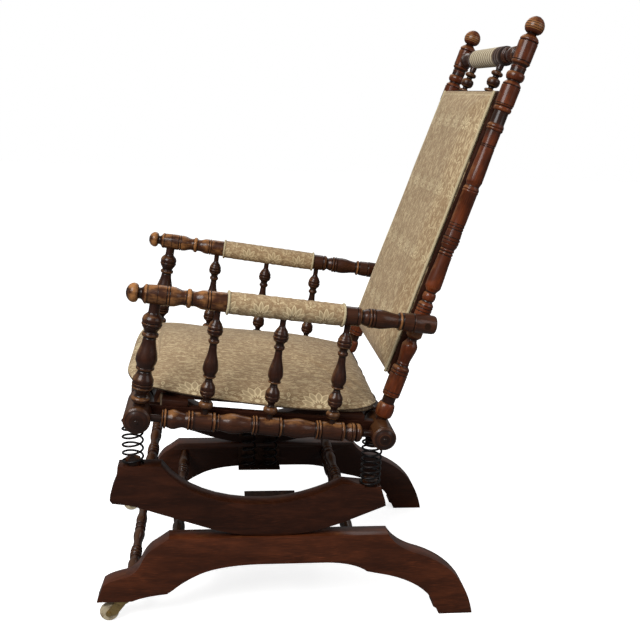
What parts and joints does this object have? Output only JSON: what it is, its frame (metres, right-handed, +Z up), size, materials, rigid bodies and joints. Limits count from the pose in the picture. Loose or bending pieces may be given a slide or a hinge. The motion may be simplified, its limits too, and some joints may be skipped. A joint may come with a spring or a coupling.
{
  "type": "platform rocker",
  "caption": "Turned walnut platform rocker with sprung rockers on a sawn base, spindled arms, a raked back and woven floral upholstery.",
  "frame": {"origin": "on the floor, under the middle of the overall box", "axes": "-X is the chair's front, -Y is its left side, +Z is up"},
  "size_m": [0.7291, 0.556, 1.0678],
  "materials": {
    "walnut": "polished",
    "walnut_dark": "polished",
    "tapestry": "woven",
    "jute": "woven",
    "iron": "blackened",
    "brass": "worn"
  },
  "bodies": {
    "base": {"base_rail_left": "walnut", "base_rail_right": "walnut", "base_stretcher_front": "walnut", "base_stretcher_middle": "walnut", "base_stretcher_rear": "walnut", "caster_socket_left": "brass", "caster_socket_right": "brass", "lower_bracket_left": "iron", "lower_bracket_right": "iron", "lower_bracket_screws": "iron", "platform_springs_left": "iron", "platform_springs_right": "iron"},
    "rockers": {"rocker_left": "walnut_dark", "rocker_right": "walnut_dark", "rocker_stretcher_front": "walnut", "rocker_stretcher_rear": "walnut", "spring_plugs": "walnut_dark", "upper_bracket_left": "iron", "upper_bracket_right": "iron", "upper_bracket_screws": "iron", "corner_spring_front_left": "iron", "corner_spring_front_right": "iron", "corner_spring_rear_left": "iron", "corner_spring_rear_right": "iron"},
    "seat": {"spring_dishes": "iron", "front_cross_rail": "walnut", "rear_cross_rail": "walnut", "side_rail_left": "walnut", "side_rail_right": "walnut", "seat_board_left": "walnut_dark", "seat_board_right": "walnut_dark", "seat_blocks": "walnut_dark", "seat_frame": "walnut_dark", "seat_webbing": "jute", "seat_cushion": "tapestry", "arm_post_left": "walnut", "arm_post_right": "walnut", "arm_spindles_left": "walnut", "arm_spindles_right": "walnut", "arm_rail_left": "walnut", "arm_rail_right": "walnut", "arm_sleeve_left": "tapestry", "arm_sleeve_right": "tapestry", "arm_bolts": "walnut_dark", "back_post_left": "walnut", "back_post_right": "walnut", "crest_rail": "walnut", "crest_sleeve": "tapestry", "crest_spindles": "walnut", "back_frame": "walnut_dark", "back_panel": "tapestry"},
    "caster_left": {"caster_fork_left": "brass", "caster_axle_left": "brass"},
    "caster_right": {"caster_fork_right": "brass", "caster_axle_right": "brass"},
    "wheel_left": {"caster_wheel_left": "brass"},
    "wheel_right": {"caster_wheel_right": "brass"}
  },
  "joints": [
    {"name": "rocking", "type": "hinge", "parent": "base", "child": "rockers", "pos_m": [-0.06, 0, 0.5273], "axis": [0, 1, 0], "range_deg": [-10, 10], "stiffness_Nm_per_rad": 150, "springref_deg": -1.97, "deforming": ["platform_springs_left", "platform_springs_right"]},
    {"name": "seat_bounce", "type": "slide", "parent": "rockers", "child": "seat", "axis": [0, 0, 1], "range_m": [-0.018, 0.004], "stiffness_N_per_m": 40000, "springref_m": 0.00176, "deforming": ["corner_spring_front_left", "corner_spring_front_right", "corner_spring_rear_left", "corner_spring_rear_right"]},
    {"name": "caster_swivel_left", "type": "hinge", "parent": "base", "child": "caster_left", "pos_m": [-0.323, -0.21, 0.04], "axis": [0, 0, 1], "continuous": true},
    {"name": "caster_swivel_right", "type": "hinge", "parent": "base", "child": "caster_right", "pos_m": [-0.323, 0.21, 0.04], "axis": [0, 0, 1], "continuous": true},
    {"name": "wheel_spin_left", "type": "hinge", "parent": "caster_left", "child": "wheel_left", "pos_m": [-0.345, -0.21, 0.017], "axis": [0, 1, 0], "continuous": true},
    {"name": "wheel_spin_right", "type": "hinge", "parent": "caster_right", "child": "wheel_right", "pos_m": [-0.345, 0.21, 0.017], "axis": [0, 1, 0], "continuous": true}
  ]
}
